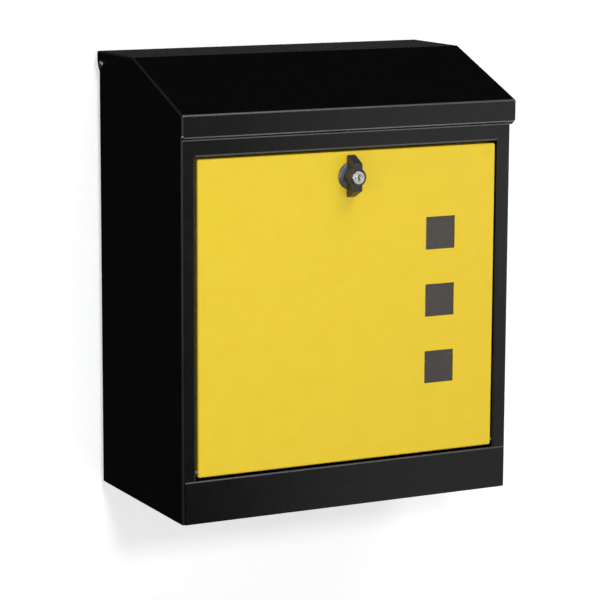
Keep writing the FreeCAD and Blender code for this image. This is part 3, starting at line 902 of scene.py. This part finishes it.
def window_studs(name):
    low, high = BOX["window_studs"]
    bm = bmesh.new()
    r = 1.5 * MM
    cuts = ((2.6, 0), (2.8, 0.2), (3.4, 0.2), (3.6, 0), (4.2, 0), (4.4, 0.2), (5.0, 0.2), (5.2, 0))
    groove = [(low.y + d * MM, r - k * MM) for d, k in cuts]
    end = [(high.y - 0.4 * MM, r), (high.y, r - 0.4 * MM), (high.y, 0)]
    for spot in stud_spots():
        lathe([(low.y, 0), (low.y, r)] + groove + end, spot, count=32, bm=bm)
    return solid(name, bm, 30)


def push_nuts(name):
    """Thin rings with six sprung teeth that bite on the studs."""
    low, high = BOX["push_nuts"]
    bm = bmesh.new()

    def teeth(angle):
        sector = (angle * 6 / (2 * math.pi)) % 1.0
        return 2.9 * MM if 0.38 < sector < 0.62 else 1.52 * MM

    y0, y1 = low.y, high.y
    bend = 0.12 * MM
    profile = [(y0, teeth), (y0, 3.3 * MM), (y0, 5 * MM - bend), (y0 + bend, 5 * MM),
               (y1 - bend, 5 * MM), (y1, 5 * MM - bend), (y1, 3.3 * MM), (y1, teeth), (y0, teeth)]
    for spot in stud_spots():
        lathe(profile, spot, count=72, bm=bm)
    return solid(name, bm, 30, SAME)


# ---- materials

class Graph:
    """A short way to write a material's nodes."""

    def __init__(self, name):
        self.material = bpy.data.materials.new(name)
        self.material.use_nodes = True
        self.nodes = self.material.node_tree.nodes
        self.links = self.material.node_tree.links
        self.shader = self.nodes["Principled BSDF"]
        coordinates = self.nodes.new("ShaderNodeTexCoord")
        self.place = coordinates.outputs["Object"]

    def put(self, socket, value):
        if isinstance(value, bpy.types.NodeSocket):
            self.links.new(value, socket)
        else:
            socket.default_value = value

    def node(self, kind, inputs=(), **values):
        made = self.nodes.new(kind)
        for key, value in values.items():
            setattr(made, key, value)
        for key, value in dict(inputs).items():
            self.put(made.inputs[key], value)
        return made

    def set(self, **values):
        """Sets the shader's inputs, and returns the finished material."""
        for key, value in values.items():
            self.put(self.shader.inputs[key.replace("_", " ")], value)
        return self.material

    def noise(self, scale, detail=2.0, rough=0.5, where=None):
        inputs = {"Vector": where or self.place, "Scale": scale, "Detail": detail,
                  "Roughness": rough}
        return self.node("ShaderNodeTexNoise", inputs).outputs["Fac"]

    def streaks(self, scale, turn):
        """Noise drawn out by scale."""
        inputs = {"Vector": self.place, "Scale": scale, "Rotation": turn}
        drawn = self.node("ShaderNodeMapping", inputs).outputs["Vector"]
        return self.noise(1.0, 2.0, 0.5, drawn)

    def cells(self, scale):
        inputs = {"Vector": self.place, "Scale": scale}
        return self.node("ShaderNodeTexVoronoi", inputs).outputs["Distance"]

    def fit(self, value, low, high, to_low, to_high):
        made = self.node("ShaderNodeMapRange", {"Value": value, "From Min": low, "From Max": high,
                                                "To Min": to_low, "To Max": to_high})
        return made.outputs["Result"]

    def between(self, value, low, high):
        """A number from low to high over most of a noise's spread."""
        return self.fit(value, 0.3, 0.7, low, high)

    def math(self, operation, a, b=0.0):
        return self.node("ShaderNodeMath", {0: a, 1: b}, operation=operation).outputs[0]

    def sum_of(self, a, share_a, b, share_b):
        return self.math("ADD", self.math("MULTIPLY", a, share_a),
                         self.math("MULTIPLY", b, share_b))

    def mix(self, share, a, b):
        made = self.node("ShaderNodeMix", {"Factor": share}, data_type="RGBA")
        for socket, value in ((made.inputs[6], a), (made.inputs[7], b)):
            self.put(socket, value if isinstance(value, bpy.types.NodeSocket) else (*value, 1.0))
        return made.outputs[2]

    def shades(self, value, dark, light, low=0.3, high=0.7):
        """A colour that goes from dark to light as value goes from low to high."""
        return self.mix(self.fit(value, low, high, 0.0, 1.0), dark, light)

    def bump(self, height, strength, distance, normal=None):
        inputs = {"Height": height, "Strength": strength, "Distance": distance}
        made = self.node("ShaderNodeBump", inputs)
        if normal:
            self.links.new(normal, made.inputs["Normal"])
        return made.outputs["Normal"]

    # the folds' share of wear and painted highlight, written by mark_folds
    def fold(self):
        return self.node("ShaderNodeAttribute", attribute_name="fold").outputs["Fac"]

    def blend(self, share, first, second):
        """The shader that goes from the first to the second with share."""
        return self.node("ShaderNodeMixShader", {0: share, 1: first, 2: second}).outputs[0]

    def glow(self, strength):
        inputs = {"Color": (1.0, 1.0, 1.0, 1.0), "Strength": strength}
        return self.node("ShaderNodeEmission", inputs).outputs[0]

    def clear_behind(self, shader):
        """Makes shader the surface, clear where it is looked at from behind. Only for the stage."""
        behind = self.node("ShaderNodeNewGeometry").outputs["Backfacing"]
        clear = self.node("ShaderNodeBsdfTransparent").outputs[0]
        surface = self.nodes["Material Output"].inputs["Surface"]
        self.links.new(self.blend(behind, shader, clear), surface)
        return self.material


def powder_coat(name, dark, light, rough, grain_size, grain, peel, wave, fold_wear_and_sheen=0.0):
    """Powder coat: fine grain, orange peel and a slow unevenness of the sheet.

    Where the last argument is given, the folds turn a little metallic and grey: part handling wear, part painted
    highlight lines."""
    g = Graph(name)
    fine = g.noise(1.0 / grain_size, 2.0, 0.6)
    sand = g.cells(0.8 / grain_size)
    coarse = g.noise(0.22 / grain_size)
    slow = g.noise(14.0, 1.0, 0.4)
    normal = g.bump(slow, wave, 1.6 * MM)
    normal = g.bump(coarse, peel, 0.5 * MM, normal)
    normal = g.bump(g.sum_of(fine, 0.6, sand, 0.55), grain, 0.25 * MM, normal)
    patch = g.noise(60.0, 3.0, 0.55)
    colour = g.shades(g.sum_of(fine, 0.6, patch, 0.4), dark, light, 0.35, 0.65)
    if fold_wear_and_sheen:
        # painted highlight as well as wear: folds turn a metallic grey, most on the lip's lower edge and folds
        # along x
        wear_and_sheen = g.math("MULTIPLY", g.fold(), g.fit(patch, 0.25, 0.75, 0.8 * fold_wear_and_sheen, fold_wear_and_sheen))
        colour = g.mix(wear_and_sheen, colour, (0.35, 0.35, 0.36))
        g.set(Metallic=wear_and_sheen)
    return g.set(Base_Color=colour, Normal=normal,
                 Roughness=g.between(patch, rough - 0.02, rough + 0.02))


def black_steel():
    # the last number is the folds' metallic grey: part wear, part painted highlight lines
    return powder_coat("black_powder_coat", (0.0012, 0.0012, 0.0014), (0.0022, 0.0022, 0.0025),
                       0.28, 1.0 * MM, 0.14, 0.12, 0.08, 1.0)


def yellow_steel():
    return powder_coat("yellow_powder_coat", (0.77, 0.54, 0.018), (0.81, 0.585, 0.024), 0.4,
                       0.6 * MM, 0.07, 0.06, 0.2)


def smoked_pane():
    """Smoked acrylic: deep grey, with fine handling marks in its polish."""
    g = Graph("smoked_acrylic")
    haze = g.noise(40.0, 4.0, 0.6)
    marks = g.streaks((40.0, 40.0, 900.0), (0, 0.5, 0))
    return g.set(Base_Color=g.shades(haze, (0.052, 0.044, 0.040), (0.061, 0.052, 0.047)),
                 Roughness=g.between(g.sum_of(haze, 0.7, marks, 0.3), 0.2, 0.32),
                 Normal=g.bump(marks, 0.05, 0.05 * MM), Specular_IOR_Level=0.5)


def turning_marks(g, pitch):
    """Waves round the lock's axis."""
    shift = g.node("ShaderNodeVectorMath", {0: g.place, 1: tuple(LOCK)}, operation="SUBTRACT")
    flat = g.node("ShaderNodeVectorMath", {0: shift.outputs[0], 1: (1.0, 0.0, 1.0)},
                  operation="MULTIPLY")
    radius = g.node("ShaderNodeVectorMath", {0: flat.outputs[0]}, operation="LENGTH")
    wobble = g.math("MULTIPLY", g.noise(300.0), 0.6 * pitch)
    place = g.math("ADD", radius.outputs["Value"], wobble)
    return g.math("SINE", g.math("MULTIPLY", place, 2 * math.pi / pitch))


def rosette_black():
    """A dark gunmetal finish, with faint turning marks."""
    g = Graph("semigloss_black")
    rings = turning_marks(g, 0.12 * MM)
    patch = g.noise(250.0, 3.0)
    grain = g.bump(g.noise(1500.0), 0.08, 0.1 * MM)
    return g.set(Base_Color=g.shades(patch, (0.24, 0.235, 0.27), (0.29, 0.285, 0.33)), Metallic=0.9,
                 Roughness=g.between(patch, 0.4, 0.5), Normal=g.bump(rings, 0.06, 0.05 * MM, grain))


def knob_black():
    """Moulded black plastic with a fine spark-eroded texture."""
    g = Graph("moulded_black")
    spark = g.math("ADD", g.noise(2600.0, 2.0, 0.6), g.math("MULTIPLY", g.cells(3000.0), 0.5))
    patch = g.noise(180.0, 3.0)
    rough = g.math("SUBTRACT", g.between(patch, 0.36, 0.46), g.math("MULTIPLY", g.fold(), 0.06))
    return g.set(Base_Color=g.shades(patch, (0.026, 0.025, 0.026), (0.036, 0.035, 0.037)),
                 Roughness=rough, Normal=g.bump(spark, 0.18, 0.06 * MM), Specular_IOR_Level=0.5)


def barrel_chrome():
    """Satin nickel, turned."""
    g = Graph("satin_nickel")
    rings = turning_marks(g, 0.09 * MM)
    patch = g.noise(500.0, 3.0, 0.6)
    return g.set(Base_Color=g.shades(patch, (0.85, 0.84, 0.815), (0.93, 0.92, 0.9)), Metallic=1.0,
                 Roughness=g.between(patch, 0.2, 0.32), Normal=g.bump(rings, 0.1, 0.03 * MM))


def bright_steel():
    """Zinc plate: faint crystal patches, a cool and a warm cast, and fine scratches."""
    g = Graph("zinc_plate")
    spangle = g.cells(700.0)
    cast = g.noise(160.0, 3.0, 0.6)
    scratch = g.streaks((3500.0, 300.0, 300.0), (0.2, 0.6, 0))
    rough = g.fit(g.sum_of(spangle, 0.5, scratch, 0.5), 0.2, 0.7, 0.26, 0.42)
    return g.set(Base_Color=g.shades(cast, (0.56, 0.575, 0.6), (0.66, 0.645, 0.59), 0.35, 0.65),
                 Metallic=1.0, Roughness=rough, Normal=g.bump(scratch, 0.12, 0.04 * MM))


def white_nylon():
    g = Graph("natural_nylon")
    patch = g.noise(400.0, 3.0)
    return g.set(Base_Color=g.shades(patch, (0.66, 0.65, 0.6), (0.74, 0.73, 0.69)),
                 Roughness=g.between(patch, 0.42, 0.52),
                 Normal=g.bump(g.noise(1800.0), 0.1, 0.06 * MM), Subsurface_Weight=0.15,
                 Subsurface_Radius=(0.0012, 0.001, 0.0008), Subsurface_Scale=1.0)


SLOTS = (black_steel, yellow_steel, smoked_pane, rosette_black, knob_black, barrel_chrome,
         bright_steel, white_nylon)
MATERIALS = {slot.__name__: slot() for slot in SLOTS}


# ---- assembly

# node: (the piece that stands for it, its slot)
PIECES = {
    "left_side_panel": (side_panel("side_left", -1), "black_steel"),
    "right_side_panel": (side_panel("side_right", 1), "black_steel"),
    "back_panel": (back_panel("back_sheet"), "black_steel"),
    "floor_pan": (floor_pan("floor_tray"), "black_steel"),
    "apron": (apron("apron_plate"), "black_steel"),
    "top_rail": (rail("rail"), "black_steel"),
    "lid": (lid("lid_sheet"), "black_steel"),
    "lid_rivet_left": (lid_rivet("rivet_left", -1), "bright_steel"),
    "lid_rivet_right": (lid_rivet("rivet_right", 1), "bright_steel"),
    "lid_washer_left": (ring("washer_left", "lid_washer_left", 2.0 * MM, "x"), "white_nylon"),
    "lid_washer_right": (ring("washer_right", "lid_washer_right", 2.0 * MM, "x"), "white_nylon"),
    "door_pin_left": (door_pin("pin_left", -1), "bright_steel"),
    "door_pin_right": (door_pin("pin_right", 1), "bright_steel"),
    "door_panel": (door_panel("door_sheet"), "yellow_steel"),
    "window_strip": (window_strip("pane_strip"), "smoked_pane"),
    "window_studs": (window_studs("pane_studs"), "bright_steel"),
    "push_nuts": (push_nuts("pane_push_nuts"), "bright_steel"),
    "rosette": (rosette("lock_rosette"), "rosette_black"),
    "lock_washer": (ring("lock_spacer", "lock_washer", 8.02 * MM), "bright_steel"),
    "lock_nut": (lock_nut("lock_hex_nut"), "bright_steel"),
    "knob": (knob("wing_knob"), "knob_black"),
    "key_barrel": (key_barrel("barrel"), "barrel_chrome"),
    "key_plug": (key_plug("plug"), "barrel_chrome"),
    "lock_spindle": (lock_spindle("spindle"), "bright_steel"),
    "latch_cam": (latch_cam("cam"), "bright_steel"),
    "cam_washer": (ring("cam_spacer", "cam_washer", 2.1 * MM), "bright_steel"),
    "cam_screw": (cam_screw("screw"), "bright_steel"),
}

BODIES = frame["record"]["behaviour"]["bodies"]
BODY_OF = {node: body for body, nodes in BODIES.items() for node in nodes}
for node, (piece, slot_name) in PIECES.items():
    piece.data.materials.clear()
    piece.data.materials.append(MATERIALS[slot_name])
    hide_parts(node)
    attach(piece, BODY_OF[node])


# ---- studio

FLOOR_REACH = 14.0
STAGE_Z = FLOOR_Z - 0.21    # the floor is clear of the open door
WALL_Y = 1 * MM
WALL_GLOW = 0.5
FLOOR_GLOW = 0.45           # share of glow in the floor, to the camera only
# To mirrored rays the floor is nearly black left of the first x and pale right of the second.
# In front of the door both lie further right, by this slant.
GLOSS = (-0.11, -0.02)
GLOSS_SLANT = math.tan(math.radians(27))
MATT_LIGHT, SEEN_LIGHT, MIRRORED_LIGHT = 0.3, 1.05, 0.01        # the world's, by kind of ray
WHITE = (1, 1, 1, 1)


def stage_piece(name, bm, material):
    obj = new_object(name, bm)
    obj.data.materials.append(material)
    return obj


def pale(name, low, high):
    """A plain pale paint between two greys."""
    g = Graph(name)
    g.set(Base_Color=g.shades(g.noise(3.0, 3.0), (low,) * 3, (high,) * 3), Roughness=0.9,
          Specular_IOR_Level=0.1)
    return g


def floor_material():
    """A pale floor that glows as well to the camera, and more so far away.

    It isn't plain to mirrored rays. It is dark to them on the left, which was set for the black
    paint's reflections from the picture's side, and it stays there from every other side."""
    g = pale("pale_floor", 0.60, 0.62)
    away = g.node("ShaderNodeVectorMath", {0: g.place}, operation="LENGTH").outputs["Value"]
    ray = g.node("ShaderNodeLightPath").outputs
    share = g.math("MULTIPLY", ray["Is Camera Ray"], FLOOR_GLOW)
    seen = g.blend(share, g.shader.outputs[0], g.glow(g.fit(away, 0.5, 1.4, 1.32, 2.15)))
    spot = g.node("ShaderNodeSeparateXYZ", {0: g.place}).outputs
    ahead = g.math("MAXIMUM", g.math("SUBTRACT", FRONT, spot["Y"]), 0.0)
    across = g.math("SUBTRACT", spot["X"], g.math("MULTIPLY", ahead, GLOSS_SLANT))
    most = g.fit(ahead, 0.1, 1.0, 0.65, 1.0)
    light = g.math("MULTIPLY", most, g.fit(across, *GLOSS, 0.04, 1.0))
    dark = g.math("MULTIPLY", ray["Is Glossy Ray"], g.math("SUBTRACT", 1.0, light))
    black = g.node("ShaderNodeBsdfDiffuse", {"Color": (0.0, 0.0, 0.0, 1.0)}).outputs[0]
    return g.clear_behind(g.blend(dark, seen, black))


def floor():
    bm = bmesh.new()
    bmesh.ops.create_grid(bm, x_segments=1, y_segments=1, size=FLOOR_REACH)
    stage_piece("floor", bm, floor_material()).location.z = STAGE_Z


def wall_material():
    """Pale paint that glows, so that only a soft shadow is left on it."""
    g = pale("pale_wall", 0.70, 0.72)
    lit = g.node("ShaderNodeAddShader", {0: g.shader.outputs[0], 1: g.glow(WALL_GLOW)})
    return g.clear_behind(lit.outputs[0])


def wall():
    """The wall that the box hangs on. Only the camera sees it, and it lights and hides nothing."""
    bm = bmesh.new()
    corners = ((-FLOOR_REACH, STAGE_Z), (FLOOR_REACH, STAGE_Z), (FLOOR_REACH, FLOOR_REACH),
               (-FLOOR_REACH, FLOOR_REACH))
    bm.faces.new([bm.verts.new((x, WALL_Y, z)) for x, z in corners])
    face_out(bm, Vector((0, -1, 0)))
    obj = stage_piece("wall", bm, wall_material())
    obj.visible_diffuse = obj.visible_glossy = False
    obj.visible_transmission = obj.visible_shadow = False


def lamp(name, kind, power, towards):
    data = bpy.data.lights.new(name, kind)
    data.energy = power
    obj = bpy.data.objects.new(name, data)
    obj.rotation_mode = "QUATERNION"
    obj.rotation_quaternion = towards.to_track_quat("-Z", "Y")
    bpy.context.scene.collection.objects.link(obj)
    return obj


def softbox(name, place, aim, size, power, colour=(1.0, 1.0, 1.0)):
    obj = lamp(name, "AREA", power, Vector(aim) - Vector(place))
    obj.data.shape = "RECTANGLE"
    obj.data.size, obj.data.size_y = size
    obj.data.color = colour
    obj.location = place
    obj.visible_camera = False


def world_light():
    """An even white world, as bright as the kind of ray that meets it says."""
    world = bpy.data.worlds.new("studio")
    bpy.context.scene.world = world
    world.use_nodes = True
    nodes, links = world.node_tree.nodes, world.node_tree.links
    sky, dim = nodes["Background"], nodes.new("ShaderNodeBackground")
    sky.inputs["Color"].default_value = dim.inputs["Color"].default_value = WHITE
    dim.inputs["Strength"].default_value = MIRRORED_LIGHT
    ray = nodes.new("ShaderNodeLightPath").outputs
    strength = nodes.new("ShaderNodeMath")
    strength.operation = "MULTIPLY_ADD"
    strength.inputs[1].default_value = SEEN_LIGHT - MATT_LIGHT
    strength.inputs[2].default_value = MATT_LIGHT
    blend = nodes.new("ShaderNodeMixShader")
    links.new(ray["Is Camera Ray"], strength.inputs[0])
    links.new(strength.outputs[0], sky.inputs["Strength"])
    links.new(ray["Is Glossy Ray"], blend.inputs[0])
    links.new(sky.outputs[0], blend.inputs[1])
    links.new(dim.outputs[0], blend.inputs[2])
    links.new(blend.outputs[0], nodes["World Output"].inputs["Surface"])


def studio():
    floor()
    wall()
    world_light()
    softbox("key", (0.28, -1.09, 1.29), (0.0, -0.18, 0.1), (0.8, 0.6), 6.0)
    softbox("front", (-0.3, -1.75, 0.44), (0.0, 0.0, 0.0), (0.2, 0.2), 10.2)
    softbox("right_card", (0.73, -0.97, 0.05), (0.1, -0.18, 0.05), (0.74, 0.5), 0.6)
    softbox("left_card", (-1.05, -0.75, 0.1), (0.0, -0.18, 0.0), (0.4, 0.6), 2.1,
            (0.86, 0.92, 1.0))
    softbox("back_card", (1.2, 2.2, 0.35), (0.0, 0.0, 0.2), (1.2, 0.5), 0.18)
    softbox("back_fill", (-2.0, 0.6, 0.8), (0.0, 0.0, 0.0), (0.8, 0.8), 3.0)
    overhead = lamp("overhead", "SUN", 1.1, Vector((-0.25, 0.2, -1.0)))
    overhead.data.angle = math.radians(40.0)
    overhead.visible_glossy = False


def camera():
    """A long lens at an azimuth and elevation about the target."""
    target = Vector((-0.0053, -0.0960, -0.0199))
    azimuth, elevation, roll = math.radians(-26.96), math.radians(10.09), math.radians(-0.23)
    distance = 2.3288
    turn_to = Matrix.Rotation(azimuth, 4, "Z") @ Matrix.Rotation(math.pi / 2 - elevation, 4, "X")
    back = turn_to @ Vector((0, 0, 1))
    data = bpy.data.cameras.new("camera")
    data.lens, data.sensor_width = 155.7, 36.0
    obj = bpy.data.objects.new("camera", data)
    bpy.context.scene.collection.objects.link(obj)
    place = Matrix.Translation(target + back * distance)
    obj.matrix_world = place @ turn_to @ Matrix.Rotation(-roll, 4, "Z")
    bpy.context.scene.camera = obj


studio()
camera()
bpy.context.scene.view_settings.view_transform = "Standard"
bpy.context.view_layer.update()
